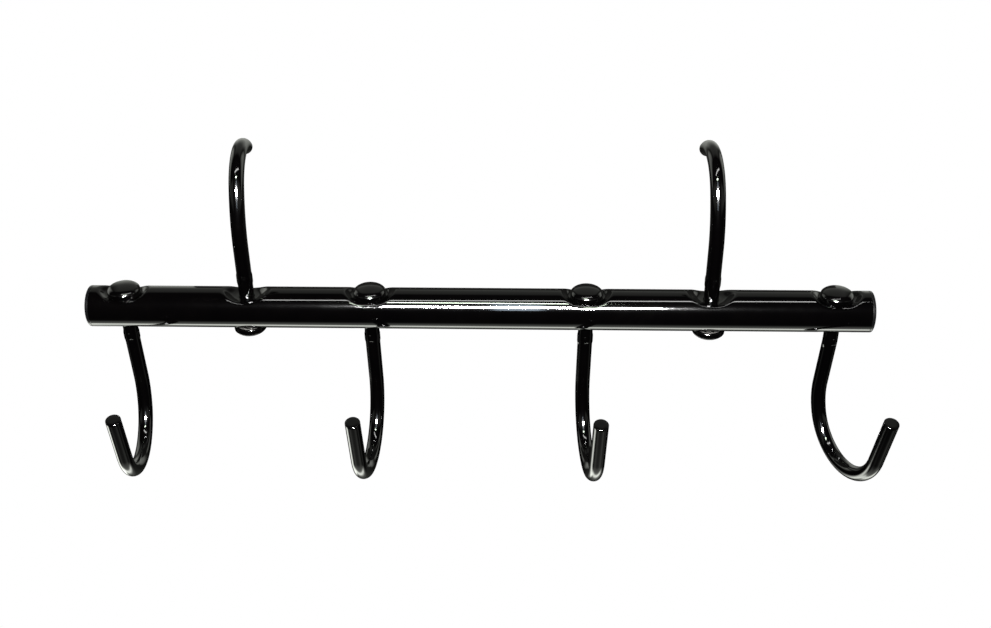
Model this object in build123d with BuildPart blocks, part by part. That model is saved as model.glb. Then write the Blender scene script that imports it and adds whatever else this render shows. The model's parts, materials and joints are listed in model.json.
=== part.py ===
from build123d import *
import os
from math import atan, cos, degrees, radians, sin

# Tack rack that hangs over a rail: a round crossbar with four swivelling hooks below it and
# two hanging hooks above it. Each hook's shank passes through both tube walls and is held on
# the far side by a domed push-on cap with a toothed retainer inside.
#
# Frame: +X along the crossbar, -Y to the front, +Z up. The origin is the middle of the line
# on which the crowns of the two hanging hooks rest on a rail. All sizes are in millimetres.

# ---- crossbar ----
OVERALL_LENGTH = 482.6  # 19 in over the end plugs
TUBE_OD = 25.6  # 1 in tube and its coating
TUBE_WALL = 1.6
PLUG_HEAD = 2.0  # thickness of each end plug's head
TUBE_LENGTH = OVERALL_LENGTH - 2 * PLUG_HEAD
TUBE_R = TUBE_OD / 2
BORE_R = TUBE_R - TUBE_WALL

# ---- stations along the crossbar, measured from its middle ----
OUTER_X = 219.1
RAIL_X = 142.9
INNER_X = 66.7

# ---- hook rod ----
ROD_R = 4.6
HOLE_R = ROD_R + 0.1  # loose hole, so that the shank turns freely
ROD_CHAMFER = 0.6
TIP_ROUND = 0.45

# ---- tack hook, from the crossbar's axis downwards: radii in mm, turns in degrees ----
TACK_SHANK = 20.0
LEAN_R = 12.1
LEAN = 5.4  # the rod first leans back
LEAN_RUN = 33.2
TACK_EASE_R = 43.7
TACK_EASE = 23.1  # the easy bend ends this far past vertical
BOWL_R = 33.1
TACK_TIP_LEAN = 12.3  # the tip leans outwards
TACK_TIP_RUN = 34.0

# ---- hanging hook, from the crossbar's axis upwards ----
RAIL_SHANK = 41.9
RAIL_EASE_R = 66.2
RAIL_EASE = 32.4
CROWN_R = 28.7
RAIL_TIP_LEAN = 54.0
RAIL_TIP_RUN = 1.5

# ---- ears pinched out of the rod just outside the crossbar ----
EAR_AT = 20.6  # middle of the ears from the crossbar's axis
EAR_LENGTH = 6.4
EAR_STAND = 0.3  # how far each ear stands out of the rod, past the edge of the hole
EAR_THICKNESS = 3.4
EAR_CORNER = 2.2
DIMPLE_R = 1.6  # the punch leaves two round dimples on the front and two on the back
DIMPLE_DEPTH = 0.45
DIMPLE_ACROSS = 0.85
DIMPLE_ALONG = 2.0

# ---- round dishes punched into the wall with the holes: depth, flat radius, outer radius ----
CAP_DISH = (4.0, 10.2, 16.5)
RAIL_DISH = (4.8, 7.0, 16.0)
UNDER_DISH = (1.4, 10.2, 15.5)
RIM_MARGIN = 0.05  # the S bend ends this far outside the round wall

# ---- domed push-on cap: the bends of its dome are radius and turn, from the middle outwards ----
CAP_BENDS = [(25.4, 16.0), (5.3, 37.0), (1.0, 37.0)]
CAP_HEIGHT = 6.5
CAP_WALL = 0.8
CAP_LIP = 1.6  # the rim is curled in this far under the retainer
CAP_EDGE = 0.35
CAP_GAP = 0.1  # running gap between the rim and the tube
ROD_PAST_RIM = 4.6  # how far the shank reaches into the cap

# ---- toothed retainer ----
RETAINER_R = 8.9
RETAINER_FLAT_R = 7.0
RETAINER_SHEET = 0.6
RETAINER_BITE_R = ROD_R + 0.02
TOOTH_RISE = 1.1
TOOTH_COUNT = 6
TOOTH_SLIT = 1.0
SLIT_LENGTH = 2.8

# ---- end plug ----
PLUG_INSERT = 9.0
PLUG_INSERT_R = BORE_R - 0.05
PLUG_INSERT_HEIGHT = 14.0  # flattened top and bottom to clear the dished walls
PLUG_WALL = 1.8
PLUG_EDGE = 0.9

# ---- hooks: station and rest swivel in degrees, positive towards +X ----
TACK_HOOKS = {
    "left_outer": (-OUTER_X, 4.5),
    "left_inner": (-INNER_X, -4.2),
    "right_inner": (INNER_X, 6.1),
    "right_outer": (OUTER_X, 20.6),
}
RAIL_HOOKS = {"left": (-RAIL_X, -3.0), "right": (RAIL_X, -3.0)}

# ---- the crossbar's axis, below and in front of the crowns' seat ----
EASE = radians(RAIL_EASE)
CROWN_REACH = RAIL_EASE_R * (1 - cos(EASE)) + CROWN_R * cos(EASE)
CROWN_RISE = RAIL_SHANK + RAIL_EASE_R * sin(EASE) + CROWN_R * (1 - sin(EASE))
TUBE_Y = -CROWN_REACH
TUBE_Z = ROD_R - CROWN_RISE

UP = 1
DOWN = -1

os.makedirs("parts", exist_ok=True)


def save(part, name):
    """Labels a finished piece and writes it under its node name."""
    part.label = name
    export_step(part, f"parts/{name}.step")


def section_plane(x, side):
    """Plane across the crossbar's front: local x is +X, local y is up or down from its axis."""
    return Plane(origin=(x, TUBE_Y, TUBE_Z), x_dir=(1, 0, 0), z_dir=(0, -side, 0))


def dish_cutter(x, side, dish, radius):
    """Round block that cuts one dish to its depth below a round wall of this radius."""
    depth, flat, reach = dish
    rise = depth + RIM_MARGIN
    turn = 2 * atan(rise / (reach - flat))
    bend = (reach - flat) / 2 / sin(turn)
    clear = TUBE_OD
    with BuildPart() as cutter:
        with BuildSketch(section_plane(x, side)):
            with BuildLine():
                floor = Line((0, radius - depth), (flat, radius - depth))
                lower = JernArc(floor @ 1, floor % 1, bend, degrees(turn))
                upper = JernArc(lower @ 1, lower % 1, bend, -degrees(turn))
                rim = upper @ 1
                Polyline(rim, (rim.X, clear), (0, clear), (0, radius - depth))
            make_face()
        revolve(axis=Axis((x, TUBE_Y, 0), (0, 0, 1)))
    return cutter.part


DISHES = [(x, UP, CAP_DISH) for x, swivel in TACK_HOOKS.values()]
DISHES += [(x, UP, RAIL_DISH) for x, swivel in RAIL_HOOKS.values()]
DISHES += [(x, DOWN, UNDER_DISH) for x in (-OUTER_X, -RAIL_X, -INNER_X, INNER_X, RAIL_X, OUTER_X)]

# ---- crossbar tube: the dished bore, then the dished wall around it ----
tube_end = Plane(origin=(-TUBE_LENGTH / 2, TUBE_Y, TUBE_Z), x_dir=(0, 1, 0), z_dir=(1, 0, 0))

with BuildPart() as bore:
    with BuildSketch(tube_end):
        Circle(BORE_R)
    extrude(amount=TUBE_LENGTH)
    for station, side, dish in DISHES:
        add(dish_cutter(station, side, dish, BORE_R), mode=Mode.SUBTRACT)

with BuildPart() as crossbar_tube:
    with BuildSketch(tube_end):
        Circle(TUBE_R)
    extrude(amount=TUBE_LENGTH)
    for station, side, dish in DISHES:
        add(dish_cutter(station, side, dish, TUBE_R), mode=Mode.SUBTRACT)
    add(bore.part, mode=Mode.SUBTRACT)
    with BuildSketch(Plane.XY.offset(TUBE_Z)):
        with Locations([(x, TUBE_Y) for x in (-OUTER_X, -RAIL_X, -INNER_X, INNER_X, RAIL_X, OUTER_X)]):
            Circle(HOLE_R)
    extrude(amount=TUBE_OD, both=True, mode=Mode.SUBTRACT)
save(crossbar_tube.part, "crossbar_tube")


# ---- end plugs ----
def make_end_plug(side):
    """Push-in plug with a round head and a hollow insert that grips the tube's two sides."""
    mouth = Plane(
        origin=(side * TUBE_LENGTH / 2, TUBE_Y, TUBE_Z), x_dir=(0, side, 0), z_dir=(side, 0, 0)
    )
    with BuildPart() as plug:
        with BuildSketch(mouth):
            Circle(TUBE_R)
        extrude(amount=PLUG_HEAD)
        fillet(plug.edges().sort_by(Axis.X)[-1 if side > 0 else 0], PLUG_EDGE)
        with BuildSketch(mouth) as insert:
            Circle(PLUG_INSERT_R)
            Rectangle(TUBE_OD, PLUG_INSERT_HEIGHT, mode=Mode.INTERSECT)
        extrude(amount=-PLUG_INSERT)
        with BuildSketch(mouth):
            add(insert.sketch)
            offset(amount=-PLUG_WALL, mode=Mode.REPLACE)
        extrude(amount=-PLUG_INSERT, mode=Mode.SUBTRACT)
    return plug.part


save(make_end_plug(DOWN), "end_plug_left")
save(make_end_plug(UP), "end_plug_right")


# ---- hooks ----
def hook_plane(x, swivel, side):
    """Local x points from the shank to the tip, local y along the shank away from the tube."""
    turn = radians(swivel)
    return Plane(
        origin=(x, TUBE_Y, TUBE_Z),
        x_dir=(sin(turn), side * cos(turn), 0),
        z_dir=(cos(turn), -side * sin(turn), 0),
    )


def dimple_places(plane):
    """Middles of the punch's round points: a slanted pair on the front and one on the back."""
    stand = ROD_R + DIMPLE_R - DIMPLE_DEPTH
    return [
        plane.location * Location((face * stand, EAR_AT + end * DIMPLE_ALONG, end * DIMPLE_ACROSS))
        for face in (-1, 1)
        for end in (-1, 1)
    ]


def make_hook(plane, shank_end, shank, bends):
    """A hook of bent round rod. Each bend is its radius, signed turn and straight run after."""
    across = Plane(plane.origin, x_dir=-plane.z_dir, z_dir=plane.x_dir)
    with BuildPart() as hook:
        with BuildLine(plane) as path:
            run = Line((0, -shank_end), (0, shank))
            for radius, turn, straight in bends:
                run = JernArc(run @ 1, run % 1, radius, turn)
                if straight:
                    run = Line(run @ 1, run @ 1 + (run % 1) * straight)
        start = path.line @ 0
        tip = path.line @ 1
        with BuildSketch(Plane(origin=start, z_dir=path.line % 0)):
            Circle(ROD_R)
        sweep(path=path.line)
        flats = hook.faces().filter_by(GeomType.PLANE)
        start_edges = flats.sort_by_distance(start)[0].edges()
        tip_edges = flats.sort_by_distance(tip)[0].edges()
        fillet(tip_edges, TIP_ROUND)
        chamfer(start_edges, ROD_CHAMFER)
        with BuildSketch(across):
            with Locations((0, EAR_AT)):
                RectangleRounded(2 * (ROD_R + EAR_STAND), EAR_LENGTH, EAR_CORNER)
        extrude(amount=EAR_THICKNESS / 2, both=True)
        with Locations(dimple_places(plane)):
            Sphere(DIMPLE_R, mode=Mode.SUBTRACT)
    return hook.part


# ---- caps and retainers ----
def draw_dome(inset):
    """Draws the dome from the axis outwards, set in from its outside, and gives its lower end."""
    start = Vector(0, CAP_HEIGHT - inset)
    heading = Vector(1, 0)
    for radius, turn in CAP_BENDS:
        bend = JernArc(start, heading, radius - inset, -turn)
        start = bend @ 1
        heading = bend % 1
    return start


def make_cap(x, side, rim):
    """Domed cap whose rim stands at this distance above or below the crossbar's axis."""
    plane = Plane(origin=(x, TUBE_Y, TUBE_Z + side * rim), x_dir=(1, 0, 0), z_dir=(0, -side, 0))
    with BuildPart() as cap:
        with BuildSketch(plane):
            with BuildLine():
                outer = draw_dome(0)
                inner = draw_dome(CAP_WALL)
                Line((0, CAP_HEIGHT), (0, CAP_HEIGHT - CAP_WALL))
                lip_r = outer.X - CAP_LIP
                edge = (outer.X - CAP_EDGE, 0)
                Polyline(inner, (inner.X, CAP_WALL), (lip_r, CAP_WALL), (lip_r, 0), edge)
                JernArc(edge, (1, 0), CAP_EDGE, 90)
                Line((outer.X, CAP_EDGE), outer)
            make_face()
        revolve(axis=Axis((x, TUBE_Y, 0), (0, 0, 1)))
    return cap.part


def make_retainer(x, side, rim):
    """Spring-steel ring on the cap's curled rim, with teeth that rise to bite the shank."""
    plane = Plane(origin=(x, TUBE_Y, TUBE_Z + side * rim), x_dir=(1, 0, 0), z_dir=(0, -side, 0))
    low = CAP_WALL
    high = CAP_WALL + RETAINER_SHEET
    with BuildPart() as retainer:
        with BuildSketch(plane):
            with BuildLine():
                Polyline(
                    (RETAINER_R, low),
                    (RETAINER_R, high),
                    (RETAINER_FLAT_R, high),
                    (RETAINER_BITE_R, high + TOOTH_RISE),
                    (RETAINER_BITE_R, low + TOOTH_RISE),
                    (RETAINER_FLAT_R, low),
                    close=True,
                )
            make_face()
        revolve(axis=Axis((x, TUBE_Y, 0), (0, 0, 1)))
        with BuildSketch(Plane(origin=plane.origin, z_dir=(0, 0, side))):
            with PolarLocations(RETAINER_BITE_R, TOOTH_COUNT):
                Rectangle(SLIT_LENGTH, TOOTH_SLIT)
        extrude(amount=CAP_HEIGHT, mode=Mode.SUBTRACT)
    return retainer.part


def save_hook_set(name, x, swivel, side, shank, bends, dish):
    """Writes a hook with the cap and retainer on the far end of its shank."""
    rim = TUBE_R - dish[0] + CAP_GAP
    hook_name = f"rail_hook_{name}" if side == UP else f"tack_hook_{name}"
    owner = f"rail_{name}" if side == UP else name
    hook = make_hook(hook_plane(x, swivel, side), rim + ROD_PAST_RIM, shank, bends)
    save(hook, hook_name)
    save(make_cap(x, -side, rim), f"cap_{owner}")
    save(make_retainer(x, -side, rim), f"retainer_{owner}")


TACK_BENDS = [
    (LEAN_R, LEAN, LEAN_RUN),
    (TACK_EASE_R, -(LEAN + TACK_EASE), 0),
    (BOWL_R, -(180 - TACK_TIP_LEAN - TACK_EASE), TACK_TIP_RUN),
]
RAIL_BENDS = [
    (RAIL_EASE_R, -RAIL_EASE, 0),
    (CROWN_R, -(180 - RAIL_TIP_LEAN - RAIL_EASE), RAIL_TIP_RUN),
]

for name, (station, swivel) in TACK_HOOKS.items():
    save_hook_set(name, station, swivel, DOWN, TACK_SHANK, TACK_BENDS, CAP_DISH)
for name, (station, swivel) in RAIL_HOOKS.items():
    save_hook_set(name, station, swivel, UP, RAIL_SHANK, RAIL_BENDS, UNDER_DISH)
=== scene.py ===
import json
from collections import namedtuple
from math import asin, ceil, cos, pi, radians, sin, sqrt

import bpy
from mathutils import Matrix, Vector


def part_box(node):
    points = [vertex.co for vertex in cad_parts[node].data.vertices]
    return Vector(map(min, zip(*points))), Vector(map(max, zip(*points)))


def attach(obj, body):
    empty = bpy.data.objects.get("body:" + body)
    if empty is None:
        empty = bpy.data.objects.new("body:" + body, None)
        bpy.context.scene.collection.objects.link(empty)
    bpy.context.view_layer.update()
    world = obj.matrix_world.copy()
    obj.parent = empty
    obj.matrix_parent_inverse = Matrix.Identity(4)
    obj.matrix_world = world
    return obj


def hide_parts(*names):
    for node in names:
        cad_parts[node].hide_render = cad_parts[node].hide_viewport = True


# Hanging tack rack. The tube, hooks, caps and plugs are finer meshes of their CAD nodes' shapes.
# The toothed retainers sit inside the caps and keep their CAD mesh. Lengths are in metres.
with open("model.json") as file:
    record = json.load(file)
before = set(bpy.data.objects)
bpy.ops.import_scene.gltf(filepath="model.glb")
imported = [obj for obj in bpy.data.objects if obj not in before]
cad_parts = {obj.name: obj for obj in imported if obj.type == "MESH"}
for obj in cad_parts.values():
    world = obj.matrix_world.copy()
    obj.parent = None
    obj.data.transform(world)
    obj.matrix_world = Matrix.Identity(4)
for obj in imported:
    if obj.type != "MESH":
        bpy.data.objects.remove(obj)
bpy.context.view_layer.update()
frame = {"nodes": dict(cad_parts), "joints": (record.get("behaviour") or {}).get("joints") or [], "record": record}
MM = 0.001
TINY = 1e-7

# ---- hook rod: the same bends as the CAD model ----
ROD_R = 4.6 * MM
ROD_SIDES = 64
TIP_ROUND = 0.45 * MM
ROUND_STEPS = 4
FINE_STEP = 0.25 * MM
ROD_STEP = 1.2 * MM
ROD_PAST_RIM = 4.6 * MM  # how far a shank reaches into its cap, past the cap's rim
TACK_SHANK = 20.0 * MM
TACK_LEAN_R = 12.1 * MM
TACK_LEAN = 5.4
TACK_LEAN_RUN = 33.2 * MM
TACK_EASE_R = 43.7 * MM
TACK_EASE = 23.1
BOWL_R = 33.1 * MM
TACK_TIP_LEAN = 12.3
TACK_TIP_RUN = 34.0 * MM
RAIL_SHANK = 41.9 * MM
RAIL_EASE_R = 66.2 * MM
RAIL_EASE = 32.4
CROWN_R = 28.7 * MM
RAIL_TIP_LEAN = 54.0
RAIL_TIP_RUN = 1.5 * MM

# ---- ears pinched out of each shank ----
EAR_AT = 20.6 * MM  # along the rod, from the tube's axis to the middle of the ears
EAR_HALF = 3.2 * MM
EAR_STAND = 0.3 * MM  # how far an ear stands out from the rod
EAR_THICKNESS = 3.4 * MM
EAR_BLEND = 2.6 * MM
EAR_SOFT = 0.5 * MM
DIMPLE_R = 1.6 * MM
DIMPLE_DEPTH = 0.45 * MM
DIMPLE_ACROSS = 0.85 * MM  # from the rod's middle line
DIMPLE_ALONG = 2.0 * MM  # from the middle of the ears
DIMPLE_WIDE = 3.0  # the dimples farther from the tube are this many times wider than tall
DIMPLE_SOFT = 0.12 * MM

# ---- crossbar: wall, holes, and the round dishes' depth, flat radius and outer radius ----
TUBE_WALL = 1.6 * MM
HOLE_R = ROD_R + 0.1 * MM
HOLE_BLOCK = 7.6 * MM  # the grid is square again this far from a hole's middle
HOLE_CELLS = 4
CAP_DISH = (4.0 * MM, 10.2 * MM, 16.5 * MM)
RAIL_DISH = (4.8 * MM, 7.0 * MM, 16.0 * MM)
UNDER_DISH = (1.4 * MM, 10.2 * MM, 15.5 * MM)
DISH_SOFT = 2.6 * MM  # how softly a dish's floor meets the round wall
EDGE_BEVEL = 0.22 * MM
BEVEL_ANGLE = 60
BLOCK_CELLS = 3  # cells of the grid from a hole's edge to its block's edge, round the tube
SIDE_CELLS = 14  # and from the block's edge to the tube's side
GRID_FINE = 1.0 * MM
GRID_COARSE = 3.0 * MM
FINE_REACH = 20.0 * MM
END_GAP = 0.4 * MM  # no ring of the fine grid comes closer than this to a cut end
NEAR_TOP = 0.5  # the grid follows the holes where the cosine of its angle from the top is past this

# ---- caps: the bends of the dome are radius and turn in degrees, from the middle outwards ----
CAP_BENDS = [(25.4 * MM, 16.0), (5.3 * MM, 37.0), (1.0 * MM, 37.0)]
CAP_BEND_STEPS = 8
CAP_WALL = 0.8 * MM
CAP_LIP = 1.6 * MM
CAP_BEAD = 0.38 * MM
BEAD_STEPS = 5
CURL_STEPS = 8
CAP_SIDES = 72
CAP_SHARP = 50

# ---- end plugs ----
PLUG_HEAD = 2.0 * MM
PLUG_EDGE = 0.9 * MM
PLUG_INSERT_HALF = 7.0 * MM
PLUG_WALL = 1.8 * MM
PLUG_GAP = 0.05 * MM
PLUG_DISH = 0.25 * MM
DISH_RIM = 0.72  # of the head's radius, where the shallow dish starts
DISH_FLOOR = 0.68  # where its flat floor starts
DISH_FLAT = 0.3  # a ring on the floor that keeps its shading flat
PLUG_SIDES = 96
PLUG_EDGE_STEPS = 6
PLUG_SHARP = 30

UP = RIGHT = 1
DOWN = LEFT = -1
TACK_OWNERS = ("left_outer", "left_inner", "right_inner", "right_outer")
RAIL_OWNERS = ("left", "right")

# A place along a rod: reach towards the tip, height, heading, and distance from the tube's axis.
Station = namedtuple("Station", "reach height heading distance")


# ---- meshes ----
def finish_mesh(mesh, sharp_angle):
    """Smooth shading, kept crisp where faces meet at more than this angle in degrees."""
    mesh.validate()
    for polygon in mesh.polygons:
        polygon.use_smooth = True
    mesh.set_sharp_from_angle(angle=radians(sharp_angle))
    mesh.update()


def new_piece(name, points, faces, material, sharp_angle=35):
    """A new object with one material."""
    mesh = bpy.data.meshes.new(name)
    mesh.from_pydata(points, [], faces)
    finish_mesh(mesh, sharp_angle)
    piece = bpy.data.objects.new(name, mesh)
    bpy.context.scene.collection.objects.link(piece)
    mesh.materials.append(material)
    return piece


def skin(rings, first, last):
    """Points and faces of a closed skin over rings of points, from one end point to the other."""
    sides = len(rings[0])
    points = [first] + [p for ring in rings for p in ring] + [last]
    faces = []
    for j in range(sides):
        k = (j + 1) % sides
        faces.append((0, 1 + k, 1 + j))
        for i in range(len(rings) - 1):
            a = 1 + i * sides
            b = a + sides
            faces.append((a + j, a + k, b + k, b + j))
        end = 1 + (len(rings) - 1) * sides
        faces.append((end + j, end + k, len(points) - 1))
    return points, faces


def smooth_min(a, b, softness):
    """The smaller of two lengths, blended where they are closer than the softness."""
    if softness <= 0:
        return min(a, b)
    h = max(softness - abs(a - b), 0)
    return min(a, b) - h * h / (4 * softness)


def smooth_max(a, b, softness):
    return -smooth_min(-a, -b, softness)


# ---- hooks ----
def arc(radius, turn):
    """Length and turn of a bend towards the tip; a negative turn bends away from it."""
    return (radius * radians(abs(turn)), turn)


# Each run of a rod is its length and its turn towards the tip, in degrees.
TACK_RUNS = [
    (TACK_SHANK, 0),
    arc(TACK_LEAN_R, -TACK_LEAN),
    (TACK_LEAN_RUN, 0),
    arc(TACK_EASE_R, TACK_LEAN + TACK_EASE),
    arc(BOWL_R, 180 - TACK_TIP_LEAN - TACK_EASE),
    (TACK_TIP_RUN, 0),
]
RAIL_RUNS = [
    (RAIL_SHANK, 0),
    arc(RAIL_EASE_R, RAIL_EASE),
    arc(CROWN_R, 180 - RAIL_TIP_LEAN - RAIL_EASE),
    (RAIL_TIP_RUN, 0),
]


def rod_path(shank_end, runs):
    """Stations from the rod's end in its cap to its tip, finer at the ears."""
    reach, height, heading, distance = 0.0, -shank_end, 0.0, -shank_end
    stations = [Station(reach, height, heading, distance)]
    for length, turn in [(shank_end, 0)] + runs:
        done = 0.0
        while done < length - TINY:
            fine = abs(distance - EAR_AT) < 2 * EAR_HALF
            step = min(FINE_STEP if fine else ROD_STEP, length - done)
            bend = radians(turn) * step / length
            chord = step if bend == 0 else step * sin(bend / 2) / (bend / 2)
            reach += chord * sin(heading + bend / 2)
            height += chord * cos(heading + bend / 2)
            heading += bend
            distance += step
            done += step
            stations.append(Station(reach, height, heading, distance))
    return stations


def find_shank_end(owner, side):
    """How far the shank reaches past the tube's axis, into its cap."""
    low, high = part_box(f"cap_{owner}")
    tube_low, tube_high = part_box("crossbar_tube")
    axis_z = (tube_low.z + tube_high.z) / 2
    rim = (low.z - axis_z) if side == DOWN else (axis_z - high.z)
    return rim + ROD_PAST_RIM


def section_radius(angle, distance):
    """Rod radius at this angle from the hook's side, with the two ears and the four dimples."""
    across, inward = cos(angle), sin(angle)
    off = distance - EAR_AT
    radius = ROD_R
    swell = min(max((EAR_HALF - abs(off)) / EAR_BLEND + 0.5, 0), 1)
    swell = swell * swell * (3 - 2 * swell)
    if swell > 0:
        ear = min(ROD_R + EAR_STAND * swell, EAR_THICKNESS / 2 / max(abs(inward), TINY))
        radius = smooth_max(radius, ear, EAR_SOFT * swell)
    stand = ROD_R + DIMPLE_R - DIMPLE_DEPTH
    for face in (-1, 1):
        for end, wide in ((-1, 1), (1, DIMPLE_WIDE)):
            # Where a line out from the rod's axis first meets the dimple's stretched sphere.
            square = (across / wide) ** 2 + inward**2
            reach = end * DIMPLE_ACROSS * across / wide**2 + face * stand * inward
            past = off - end * DIMPLE_ALONG
            gap = (DIMPLE_ACROSS / wide) ** 2 + stand**2 + past**2 - DIMPLE_R**2
            inside = reach**2 - square * gap
            if reach > 0 and inside > 0:
                radius = smooth_min(radius, (reach - sqrt(inside)) / square, DIMPLE_SOFT)
    return radius


def make_hook(node, mount, side, shank_end, runs, material):
    """A bent round rod, turned about its swivel axis so that it points towards its mount."""
    joint = next(j for j in frame["joints"] if j["child"] == node)
    origin = Vector(joint["pos_m"])
    target = Vector(next(m for m in frame["record"]["mounts"] if m["name"] == mount)["pos_m"])
    outward = Vector((target.x - origin.x, target.y - origin.y, 0)).normalized()
    axis = Vector((0, 0, side))
    across = outward.cross(axis)

    def centre_at(station):
        return origin + outward * station.reach + axis * station.height

    def ring_at(station, radius_of):
        inward = outward * cos(station.heading) - axis * sin(station.heading)
        angles = [2 * pi * k / ROD_SIDES for k in range(ROD_SIDES)]
        ways = [across * cos(a) + inward * sin(a) for a in angles]
        radii = [radius_of(a, station.distance) for a in angles]
        return [centre_at(station) + way * radius for way, radius in zip(ways, radii)]

    def moved(station, along):
        reach = station.reach + along * sin(station.heading)
        height = station.height + along * cos(station.heading)
        return station._replace(reach=reach, height=height)

    def end_rings(station, into):
        """Rings from the middle of an end face outwards, and round its edge onto the rod's side."""
        flat_r = ROD_R - TIP_ROUND
        rings = [ring_at(station, lambda a, d: flat_r / 2)]
        for step in range(ROUND_STEPS + 1):
            turn = pi / 2 * step / ROUND_STEPS
            place = moved(station, into * TIP_ROUND * (1 - cos(turn)))
            rings.append(ring_at(place, lambda a, d: flat_r + TIP_ROUND * sin(turn)))
        return rings

    stations = rod_path(shank_end, runs)
    head, tail = stations[0], stations[-1]
    rings = end_rings(head, 1)
    for station in stations:
        if head.distance + 2 * TIP_ROUND < station.distance < tail.distance - 2 * TIP_ROUND:
            rings.append(ring_at(station, section_radius))
    rings += end_rings(tail, -1)[::-1]
    points, faces = skin(rings, centre_at(head), centre_at(tail))
    piece = new_piece(f"{node}_rod", points, faces, material)
    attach(piece, node)
    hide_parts(node)
    return piece


# ---- crossbar ----
def dish_depth(off, dish):
    """Depth of a dish at this distance from its middle."""
    depth, flat, reach = dish
    fall = min(max((reach - off) / (reach - flat), 0), 1)
    return depth * fall * fall * (3 - 2 * fall)


def spaced(start, end, step):
    """Values from start up to, but not including, end, as evenly spaced as the step allows."""
    count = max(1, ceil((end - start) / step))
    return [start + (end - start) * k / count for k in range(count)]


def quarter_angles(radius):
    """Angles from the top to the side: past the hole, past its square block, and on to the side."""
    hole = asin(HOLE_R / radius)
    block = asin(HOLE_BLOCK / radius)
    angles = [asin(HOLE_R * k / HOLE_CELLS / radius) for k in range(HOLE_CELLS)]
    angles += [hole + (block - hole) * k / BLOCK_CELLS for k in range(BLOCK_CELLS)]
    angles += [block + (pi / 2 - block) * k / SIDE_CELLS for k in range(SIDE_CELLS)]
    return angles


def ring_angles(radius):
    """Angles all the way round the tube, from the top."""
    quarter = quarter_angles(radius)
    half = quarter + [pi - a for a in [pi / 2] + quarter[:0:-1]]
    return half + [a + pi for a in half]


def station_offsets():
    """Distances of the fine grid's rings from a station's middle."""
    offsets = [HOLE_R * k / HOLE_CELLS for k in range(HOLE_CELLS)]
    offsets += spaced(HOLE_R, HOLE_BLOCK, GRID_FINE)
    offsets += spaced(HOLE_BLOCK, FINE_REACH, GRID_FINE) + [FINE_REACH]
    return offsets


def long_lines(low, high, stations):
    """Places of the grid's rings along the crossbar, fine around each station."""
    lines = [low]
    offsets = station_offsets()
    for x in stations:
        local = [x - o for o in reversed(offsets)] + [x + o for o in offsets[1:]]
        local = [v for v in local if low + END_GAP < v < high - END_GAP]
        lines += spaced(lines[-1], local[0], GRID_COARSE)[1:]
        lines += local
    lines += spaced(lines[-1], high, GRID_COARSE)[1:] + [high]
    return lines


def around_hole(dx, dy):
    """Moves a grid point near a hole so that the grid's square rows become rings round it."""
    square = max(abs(dx), abs(dy))
    if square < TINY or square >= HOLE_BLOCK:
        return dx, dy
    share = min((HOLE_BLOCK - square) / (HOLE_BLOCK - HOLE_R), 1)
    scale = square / sqrt(dx * dx + dy * dy)
    return dx + (dx * scale - dx) * share, dy + (dy * scale - dy) * share


def top_dish(child):
    """The dish in the tube's top at this hook: a rail hook's shank, or a tack hook's cap."""
    return RAIL_DISH if child.startswith("rail_hook") else CAP_DISH


def make_wall(lines, radius, middle, dishes):
    """Points on one face of the wall, ring by ring. The dishes are those in the top, by station."""
    points = []
    angles = ring_angles(radius)
    for x in lines:
        near = min(dishes, key=lambda station: abs(station - x))
        for angle in angles:
            side = UP if cos(angle) > 0 else DOWN
            dx, y = x - near, radius * sin(angle)
            if abs(cos(angle)) > NEAR_TOP:
                dx, y = around_hole(dx, y)
            height = sqrt(radius * radius - y * y)
            depth = dish_depth(sqrt(dx * dx + y * y), dishes[near] if side == UP else UNDER_DISH)
            height = smooth_min(height, radius - depth, min(DISH_SOFT, depth))
            points.append(Vector((near + dx, middle.y + y, middle.z + side * height)))
    return points


def wall_faces(rings, sides, is_open):
    """Faces of the outer and inner wall, the cut ends, and the edges of the openings."""
    inner = rings * sides
    last = rings - 1
    faces = []

    def at(i, j):
        return i * sides + j % sides

    def edge(a, b):
        """A face through the wall between two outer points."""
        faces.append((a, b, b + inner, a + inner))

    for j in range(sides):
        edge(at(0, j), at(0, j + 1))
        edge(at(last, j + 1), at(last, j))
        for i in range(last):
            a, b, c, d = at(i, j), at(i + 1, j), at(i + 1, j + 1), at(i, j + 1)
            if not is_open(i, j):
                faces.append((a, b, c, d))
                faces.append((a + inner, d + inner, c + inner, b + inner))
                continue
            if not is_open(i - 1, j):
                edge(d, a)
            if not is_open(i + 1, j):
                edge(b, c)
            if not is_open(i, j - 1):
                edge(a, b)
            if not is_open(i, j + 1):
                edge(c, d)
    return faces


def without_loose(points, faces):
    """Leaves out the points that no face uses."""
    used = sorted({index for face in faces for index in face})
    place = {index: k for k, index in enumerate(used)}
    return [points[index] for index in used], [tuple(place[index] for index in face) for face in faces]


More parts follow.
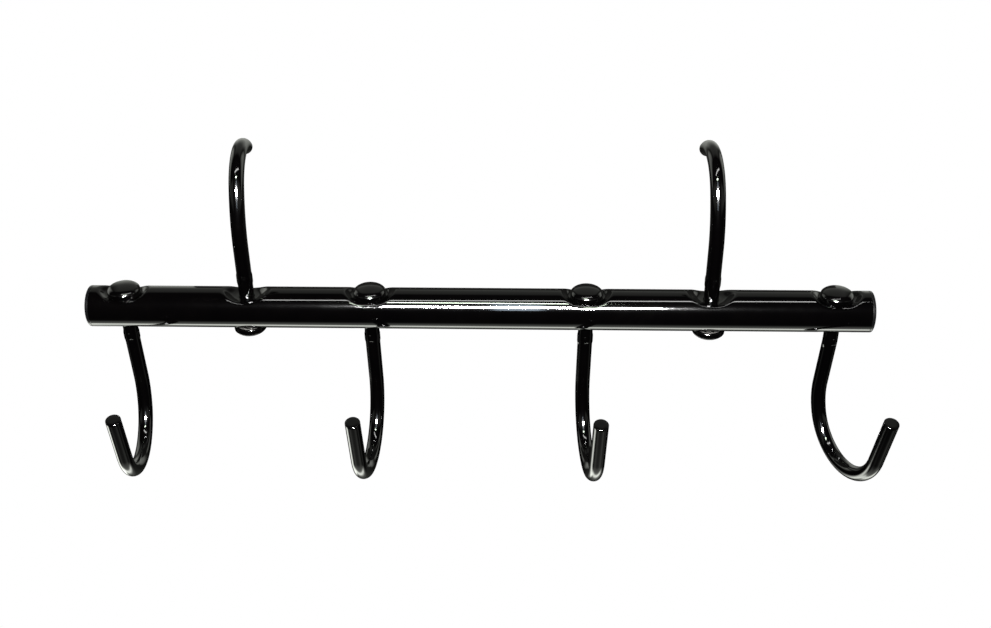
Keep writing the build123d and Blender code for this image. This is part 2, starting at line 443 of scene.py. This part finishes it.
def make_crossbar(material):
    """The tube: a grid over its outer and inner wall, open at the holes, sunk at the dishes."""
    low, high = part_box("crossbar_tube")
    outer_r = (high.y - low.y) / 2
    middle = (low + high) / 2
    dishes = {j["pos_m"][0]: top_dish(j["child"]) for j in frame["joints"]}
    stations = sorted(dishes)
    lines = long_lines(low.x, high.x, stations)
    points = make_wall(lines, outer_r, middle, dishes)
    points += make_wall(lines, outer_r - TUBE_WALL, middle, dishes)
    sides = len(ring_angles(outer_r))
    cells = range(-HOLE_CELLS, HOLE_CELLS)
    open_columns = {(start + j) % sides for start in (0, sides // 2) for j in cells}
    open_rows = {
        i for i in range(len(lines) - 1)
        if any(abs((lines[i] + lines[i + 1]) / 2 - x) < HOLE_R for x in stations)
    }

    def is_open(i, j):
        return i in open_rows and j % sides in open_columns

    points, faces = without_loose(points, wall_faces(len(lines), sides, is_open))
    piece = new_piece("crossbar_wall", points, faces, material, BEVEL_ANGLE)
    bevel = piece.modifiers.new("soft_edges", "BEVEL")
    bevel.width = EDGE_BEVEL
    bevel.segments = 2
    bevel.limit_method = "ANGLE"
    bevel.angle_limit = radians(BEVEL_ANGLE)
    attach(piece, "crossbar")
    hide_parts("crossbar_tube")
    return piece


# ---- pieces turned round an axis ----
def turned(origin, axis, profile, sides):
    """Rings round an axis from a profile of (radius, height) points."""
    side_way = Vector((1, 0, 0)) if axis.x == 0 else Vector((0, 0, 1))
    other = axis.cross(side_way)
    angles = [2 * pi * k / sides for k in range(sides)]
    ways = [side_way * cos(a) + other * sin(a) for a in angles]
    return [[origin + axis * height + way * radius for way in ways] for radius, height in profile]


def arc_points(centre, radius, start, end, count):
    """Points on an arc of a profile, both ends included; angles in radians from the radius axis."""
    turns = [start + (end - start) * k / count for k in range(count + 1)]
    return [(centre[0] + radius * cos(a), centre[1] + radius * sin(a)) for a in turns]


def make_cap(owner, body, side, material):
    """A domed cap: the dome outside, the dome inside, and the rim curled in under the retainer."""
    low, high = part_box(f"cap_{owner}")
    outer_r = (high.x - low.x) / 2
    height = high.z - low.z
    rim = Vector(((low.x + high.x) / 2, (low.y + high.y) / 2, low.z if side == UP else high.z))

    def dome(inset):
        """Profile from beside the axis down to the skirt, bend by bend."""
        points = []
        middle = Vector((0, height))
        heading = Vector((0, 1))
        turned_by = 0.0
        for radius, turn in CAP_BENDS:
            middle -= heading * radius
            for step in range(1, CAP_BEND_STEPS + 1):
                angle = radians(turned_by + turn * step / CAP_BEND_STEPS)
                heading = Vector((sin(angle), cos(angle)))
                points.append(middle + heading * (radius - inset))
            middle += heading * radius
            turned_by += turn
        return points

    lip_r = outer_r - CAP_LIP
    bead = (outer_r - CAP_BEAD, CAP_BEAD)
    profile = dome(0) + arc_points(bead, CAP_BEAD, 0, -pi / 2, BEAD_STEPS)
    profile += arc_points((lip_r + CAP_BEAD, CAP_BEAD), CAP_BEAD, -pi / 2, -3 * pi / 2, CURL_STEPS)
    profile += [(outer_r - CAP_WALL, 2 * CAP_BEAD)]
    profile += dome(CAP_WALL)[::-1]
    axis = Vector((0, 0, side))
    rings = turned(rim, axis, profile, CAP_SIDES)
    points, faces = skin(rings, rim + axis * height, rim + axis * (height - CAP_WALL))
    piece = new_piece(f"cap_{owner}_dome", points, faces, material, CAP_SHARP)
    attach(piece, body)
    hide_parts(f"cap_{owner}")
    return piece


def make_plug(node, side, material):
    """A push-in plug: a round head with a soft edge and a flattened hollow insert behind it."""
    low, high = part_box(node)
    centre = (low + high) / 2
    head_r = (high.z - low.z) / 2
    insert_r = head_r - TUBE_WALL - PLUG_GAP
    core_r = insert_r - PLUG_WALL
    insert = high.x - low.x - PLUG_HEAD
    tube_low, tube_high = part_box("crossbar_tube")
    mouth = Vector((tube_high.x if side == RIGHT else tube_low.x, centre.y, centre.z))
    axis = Vector((side, 0, 0))
    edge = (head_r - PLUG_EDGE, PLUG_HEAD - PLUG_EDGE)
    floor = PLUG_HEAD - PLUG_DISH
    profile = [(core_r / 2, 0), (core_r, 0), (core_r, -insert), (insert_r, -insert)]
    profile += [(insert_r, 0), (head_r, 0)]
    profile += arc_points(edge, PLUG_EDGE, 0, pi / 2, PLUG_EDGE_STEPS)
    profile += [(head_r * DISH_RIM, PLUG_HEAD), (head_r * DISH_FLOOR, floor), (head_r * DISH_FLAT, floor)]
    rings = turned(mouth, axis, profile, PLUG_SIDES)
    for ring, (radius, height) in zip(rings, profile):
        if radius <= insert_r and height <= 0:
            half = PLUG_INSERT_HALF - (insert_r - radius)
            for point in ring:
                point.z = centre.z + max(min(point.z - centre.z, half), -half)
    points, faces = skin(rings, mouth, mouth + axis * floor)
    piece = new_piece(f"{node}_moulding", points, faces, material, PLUG_SHARP)
    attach(piece, "crossbar")
    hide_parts(node)
    return piece


# ---- materials ----
def start_material(name):
    """A new material, its nodes, links and shader, and the place on the object as a pattern's input."""
    material = bpy.data.materials.new(name)
    material.use_nodes = True
    nodes, links = material.node_tree.nodes, material.node_tree.links
    shader = nodes["Principled BSDF"]
    place = nodes.new("ShaderNodeTexCoord").outputs["Object"]
    return material, nodes, links, shader, place


def noise(nodes, links, place, scale, detail=3.0, roughness=0.5):
    """A noise pattern of 0 to 1."""
    node = nodes.new("ShaderNodeTexNoise")
    node.inputs["Scale"].default_value = scale
    node.inputs["Detail"].default_value = detail
    node.inputs["Roughness"].default_value = roughness
    links.new(place, node.inputs["Vector"])
    return node.outputs["Fac"]


def ramp(nodes, links, value, stops):
    """Colour ramp of (position, colour) stops."""
    node = nodes.new("ShaderNodeValToRGB")
    elements = node.color_ramp.elements
    while len(elements) < len(stops):
        elements.new(0.5)
    for element, (position, colour) in zip(elements, stops):
        element.position = position
        element.color = (*colour, 1)
    links.new(value, node.inputs["Fac"])
    return node.outputs["Color"]


def spread(nodes, links, value, low, high):
    """Maps a pattern of 0 to 1 onto a range."""
    node = nodes.new("ShaderNodeMapRange")
    node.inputs["To Min"].default_value = low
    node.inputs["To Max"].default_value = high
    links.new(value, node.inputs["Value"])
    return node.outputs["Result"]


def bump(nodes, links, height, distance, under=None):
    """A bumped normal of this height in metres, on top of the one under it."""
    node = nodes.new("ShaderNodeBump")
    node.inputs["Distance"].default_value = distance
    links.new(height, node.inputs["Height"])
    if under:
        links.new(under, node.inputs["Normal"])
    return node.outputs["Normal"]


def dress(links, shader, colour, roughness, normal):
    """Links the three patterns of a material to its shader."""
    links.new(colour, shader.inputs["Base Color"])
    links.new(roughness, shader.inputs["Roughness"])
    links.new(normal, shader.inputs["Normal"])


COAT_TINTS = [
    (0.3, (0.00006, 0.00005, 0.00006)),
    (0.6, (0.0001, 0.00008, 0.00009)),
    (0.8, (0.0002, 0.00019, 0.00016)),
]
PLASTIC_TINTS = [(0.3, (0.0003, 0.0003, 0.0004)), (0.75, (0.0008, 0.0008, 0.0008))]
STEEL_TINTS = [(0.3, (0.34, 0.33, 0.31)), (0.7, (0.52, 0.51, 0.49))]
WAVE_HEIGHT = 3  # the slow waves are this many times as high as the orange peel


def black_coat(name, gloss, peel, peel_scale):
    """Baked black coat: orange peel, slow waves, and uneven gloss from dust and handling."""
    material, nodes, links, shader, place = start_material(name)
    shader.inputs["IOR"].default_value = 1.5
    shader.inputs["Specular IOR Level"].default_value = 0.5
    tint = noise(nodes, links, place, scale=42, detail=4, roughness=0.6)
    handling = noise(nodes, links, place, scale=95, detail=5, roughness=0.65)
    waves = bump(nodes, links, noise(nodes, links, place, scale=45, detail=1), peel * WAVE_HEIGHT)
    fine = bump(nodes, links, noise(nodes, links, place, scale=peel_scale, detail=2), peel, waves)
    colour = ramp(nodes, links, tint, COAT_TINTS)
    dress(links, shader, colour, spread(nodes, links, handling, *gloss), fine)
    return material


def plug_plastic():
    """Black moulded plastic with a fine grain."""
    material, nodes, links, shader, place = start_material("plug_plastic")
    shader.inputs["IOR"].default_value = 1.49
    shader.inputs["Specular IOR Level"].default_value = 0.3
    colour = ramp(nodes, links, noise(nodes, links, place, scale=60), PLASTIC_TINTS)
    roughness = spread(nodes, links, noise(nodes, links, place, scale=160, detail=4), 0.16, 0.28)
    grain = bump(nodes, links, noise(nodes, links, place, scale=2200, detail=2), 0.02 * MM)
    dress(links, shader, colour, roughness, grain)
    return material


def spring_steel():
    """Bare spring steel for the retainers."""
    material, nodes, links, shader, place = start_material("retainer_steel")
    shader.inputs["Metallic"].default_value = 1.0
    colour = ramp(nodes, links, noise(nodes, links, place, scale=500, detail=4), STEEL_TINTS)
    roughness = spread(nodes, links, noise(nodes, links, place, scale=900, detail=4), 0.28, 0.45)
    grain = bump(nodes, links, noise(nodes, links, place, scale=3000, detail=2), 0.01 * MM)
    dress(links, shader, colour, roughness, grain)
    return material


# ---- the pieces ----
tube_coat = black_coat("tube_coat", gloss=(0.045, 0.08), peel=0.005 * MM, peel_scale=300)
hook_coat = black_coat("hook_coat", gloss=(0.05, 0.1), peel=0.006 * MM, peel_scale=340)
cap_coat = black_coat("cap_coat", gloss=(0.08, 0.14), peel=0.007 * MM, peel_scale=420)
plastic = plug_plastic()
steel = spring_steel()

make_crossbar(tube_coat)
make_plug("end_plug_left", LEFT, plastic)
make_plug("end_plug_right", RIGHT, plastic)

for owner in TACK_OWNERS:
    node = f"tack_hook_{owner}"
    shank_end = find_shank_end(owner, DOWN)
    make_hook(node, f"hang_{owner}", DOWN, shank_end, TACK_RUNS, hook_coat)
    make_cap(owner, node, UP, cap_coat)
for owner in RAIL_OWNERS:
    node = f"rail_hook_{owner}"
    shank_end = find_shank_end(f"rail_{owner}", UP)
    make_hook(node, f"rail_seat_{owner}", UP, shank_end, RAIL_RUNS, hook_coat)
    make_cap(f"rail_{owner}", node, DOWN, cap_coat)
for node, piece in frame["nodes"].items():
    if node.startswith("retainer"):
        piece.data.materials.clear()
        piece.data.materials.append(steel)


# ---- studio: pale floor, dark card, surroundings, four lamps and the camera ----
WHITE = (1.0, 1.0, 1.0)
FLOOR_Z = -1.6
FLOOR_HALF = 14.0
CARD_COLOUR = (0.07, 0.07, 0.065)
CARD_BEHIND = 90 * MM
CARD_INSET = 40 * MM
CARD_HEIGHTS = (-60 * MM, 50 * MM)

# Levels of light as (turn, level). The turn goes round the X axis: 0.5 is straight down, 0.75 is
# level behind, 1 is straight up and 0.25 is level in front.
AROUND = [
    (0.36, 0.004), (0.395, 0.01), (0.41, 0.03), (0.425, 0.2), (0.446, 0.65), (0.471, 0.85),
    (0.487, 1.8), (0.497, 5.6), (0.513, 5.8), (0.528, 2.0), (0.545, 0.4), (0.58, 0.08),
    (0.65, 0.02), (0.68, 0.02), (0.715, 0.55), (0.755, 0.95), (0.795, 0.72), (0.835, 0.33),
    (0.915, 0.26), (0.945, 0.006),
]
BELOW_LEFT = [(0.49, 0), (0.51, 2.5), (0.53, 6.0), (0.555, 6.0), (0.585, 0.7), (0.62, 0)]
FLANKS = [
    (0.08, 0), (0.12, 0.3), (0.19, 0.3), (0.23, 0), (0.72, 0), (0.78, 1.3), (0.87, 1.3), (0.93, 0),
]
WORLD_GAIN = 6.0  # the brightest level that a stop can hold
PALE_GREEN = (0.97, 1.0, 0.92)
# Each fade is the range over which a light comes or goes sideways. AROUND goes and FLANKS comes by
# the size of a direction's X. BELOW_LEFT comes and goes by its X divided by its Z.
AROUND_FADE = (0.34, 0.6)
AROUND_LEFT = 0.03  # the share of it that is left past the fade
FLANKS_FADE = (0.54, 0.7)
SLOPE_RISE = (0.3, 0.5)
SLOPE_FALL = (1.08, 1.2)

# Each lamp: name, X from the crossbar's middle, degrees forward of straight up, distance, size,
# watts, colour, and degrees swung in its own plane.
LAMPS = [
    ("overhead_strip", 0.07, 12.6, 1.0, (0.887, 0.07), 2.6, (1.0, 1.0, 0.98), 17),
    ("overhead_panel", -0.03, 29.0, 1.0, (0.3, 0.05), 4, (0.85, 1.0, 0.8), 0),
    ("front_lamp", 0.02, 51.6, 0.8, (0.34, 0.085), 150, WHITE, 0),
    ("window_strip", 0.02, 51.6, 0.8, (0.06, 0.5), 0.8, (0.7, 0.85, 1.0), 0),
]

CAMERA_TURN = (-1.654, 31.637, -0.422)  # degrees turned to the right, tipped down and rolled
CAMERA_PLACE = (29.67 * MM, -655.3 * MM, 400.05 * MM)  # from the crossbar's middle
SENSOR_WIDTH = 36  # both of these are in millimetres, as a camera's are
FOCAL_LENGTH = 45.12


def tube_middle():
    """The middle of the crossbar."""
    low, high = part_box("crossbar_tube")
    return (low + high) / 2


def glowing(name, colour):
    """A material that only gives off light."""
    material = bpy.data.materials.new(name)
    material.use_nodes = True
    nodes, links = material.node_tree.nodes, material.node_tree.links
    glow = nodes.new("ShaderNodeEmission")
    glow.inputs["Color"].default_value = (*colour, 1)
    links.new(glow.outputs["Emission"], nodes["Material Output"].inputs["Surface"])
    return material


def make_floor():
    """A plain pale floor, far below, that only the camera sees."""
    corners = [(-1, -1), (1, -1), (1, 1), (-1, 1)]
    points = [(x * FLOOR_HALF, y * FLOOR_HALF, FLOOR_Z) for x, y in corners]
    floor = new_piece("floor", points, [(0, 1, 2, 3)], glowing("pale_floor", WHITE))
    floor.visible_glossy = False
    floor.visible_diffuse = False
    floor.visible_shadow = False


def make_card():
    """A dark card close behind the tube, seen only in reflections, keeps the tube's top edge black."""
    low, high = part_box("crossbar_tube")
    middle = tube_middle()
    ends = (low.x + CARD_INSET, high.x)
    points = [(x, middle.y + CARD_BEHIND, middle.z + z) for z in CARD_HEIGHTS for x in ends]
    card = new_piece("dark_card", points, [(0, 1, 3, 2)], glowing("dark_card", CARD_COLOUR))
    card.visible_camera = False
    card.visible_diffuse = False
    card.visible_shadow = False


def maths(nodes, links, operation, a, b=0.0):
    """A maths node on two values, each of them a number or an output."""
    node = nodes.new("ShaderNodeMath")
    node.operation = operation
    for socket, value in zip(node.inputs, (a, b)):
        if isinstance(value, (int, float)):
            socket.default_value = value
        else:
            links.new(value, socket)
    return node.outputs["Value"]


def fade(nodes, links, value, over, start, end):
    """Eases from a start level to an end level as the value passes over a range."""
    node = nodes.new("ShaderNodeMapRange")
    node.interpolation_type = "SMOOTHSTEP"
    for socket, number in zip(("From Min", "From Max", "To Min", "To Max"), (*over, start, end)):
        node.inputs[socket].default_value = number
    links.new(value, node.inputs["Value"])
    return node.outputs["Result"]


def surroundings(nodes, links, turn, levels, strength):
    """Light of these levels round the X axis, scaled by a strength that changes sideways."""
    stops = [(at, [level * c / WORLD_GAIN for c in PALE_GREEN]) for at, level in levels]
    shader = nodes.new("ShaderNodeBackground")
    links.new(ramp(nodes, links, turn, stops), shader.inputs["Color"])
    links.new(strength, shader.inputs["Strength"])
    return shader.outputs["Background"]


def make_world():
    """White to the camera. In reflections: bright below, dimmer behind, dark above and in front."""
    world = bpy.data.worlds.new("studio")
    bpy.context.scene.world = world
    world.use_nodes = True
    nodes, links = world.node_tree.nodes, world.node_tree.links
    nodes.clear()
    split = nodes.new("ShaderNodeSeparateXYZ")
    links.new(nodes.new("ShaderNodeTexCoord").outputs["Generated"], split.inputs["Vector"])
    x, y, z = (split.outputs[k] for k in "XYZ")

    turn = maths(nodes, links, "ARCTAN2", y, maths(nodes, links, "MULTIPLY", z, -1))
    turn = maths(nodes, links, "ADD", maths(nodes, links, "DIVIDE", turn, 2 * pi), 0.5)
    sideways = maths(nodes, links, "ABSOLUTE", x)
    slope = maths(nodes, links, "DIVIDE", x, z)
    rise = fade(nodes, links, slope, SLOPE_RISE, 0, 1)
    fall = fade(nodes, links, slope, SLOPE_FALL, WORLD_GAIN, 0)
    lights = [
        (AROUND, fade(nodes, links, sideways, AROUND_FADE, WORLD_GAIN, AROUND_LEFT * WORLD_GAIN)),
        (BELOW_LEFT, maths(nodes, links, "MULTIPLY", rise, fall)),
        (FLANKS, fade(nodes, links, sideways, FLANKS_FADE, 0, WORLD_GAIN)),
    ]
    reflected = surroundings(nodes, links, turn, *lights[0])
    for levels, strength in lights[1:]:
        both = nodes.new("ShaderNodeAddShader")
        links.new(reflected, both.inputs[0])
        links.new(surroundings(nodes, links, turn, levels, strength), both.inputs[1])
        reflected = both.outputs["Shader"]

    seen = nodes.new("ShaderNodeBackground")
    seen.inputs["Color"].default_value = (*WHITE, 1)
    mix = nodes.new("ShaderNodeMixShader")
    links.new(nodes.new("ShaderNodeLightPath").outputs["Is Camera Ray"], mix.inputs["Fac"])
    links.new(reflected, mix.inputs[1])
    links.new(seen.outputs["Background"], mix.inputs[2])
    out = nodes.new("ShaderNodeOutputWorld")
    links.new(mix.outputs["Shader"], out.inputs["Surface"])


def make_lamp(name, x, tilt, distance, size, watts, colour, swing):
    """A rectangular soft lamp that faces the crossbar."""
    middle = tube_middle()
    target = middle + Vector((x, 0, 0))
    away = Vector((0, -sin(radians(tilt)), cos(radians(tilt))))
    data = bpy.data.lights.new(name, "AREA")
    data.shape = "RECTANGLE"
    data.size, data.size_y = size
    data.energy = watts
    data.color = colour
    lamp = bpy.data.objects.new(name, data)
    bpy.context.scene.collection.objects.link(lamp)
    lamp.location = target + away * distance
    facing = (-away).to_track_quat("-Z", "Y").to_matrix()
    lamp.rotation_euler = (facing @ Matrix.Rotation(radians(swing), 3, "Z")).to_euler()
    lamp.visible_camera = False


def make_camera():
    """Camera at the photographed angle: turned, tipped down and rolled a little."""
    yaw, pitch, roll = (radians(angle) for angle in CAMERA_TURN)
    ahead_x = Vector((cos(yaw), -sin(yaw), 0))
    ahead_y = Vector((sin(yaw), cos(yaw), 0))
    forward = ahead_y * cos(pitch) - Vector((0, 0, sin(pitch)))
    level_up = ahead_y * sin(pitch) + Vector((0, 0, cos(pitch)))
    right = ahead_x * cos(roll) + level_up * sin(roll)
    up = level_up * cos(roll) - ahead_x * sin(roll)
    data = bpy.data.cameras.new("camera")
    data.sensor_width = SENSOR_WIDTH
    data.lens = FOCAL_LENGTH
    camera = bpy.data.objects.new("camera", data)
    bpy.context.scene.collection.objects.link(camera)
    turn = Matrix((right, up, -forward)).transposed().to_4x4()
    camera.matrix_world = Matrix.Translation(tube_middle() + Vector(CAMERA_PLACE)) @ turn
    bpy.context.scene.camera = camera


make_floor()
make_card()
make_world()
for lamp in LAMPS:
    make_lamp(*lamp)
make_camera()
bpy.context.scene.view_settings.view_transform = "Standard"
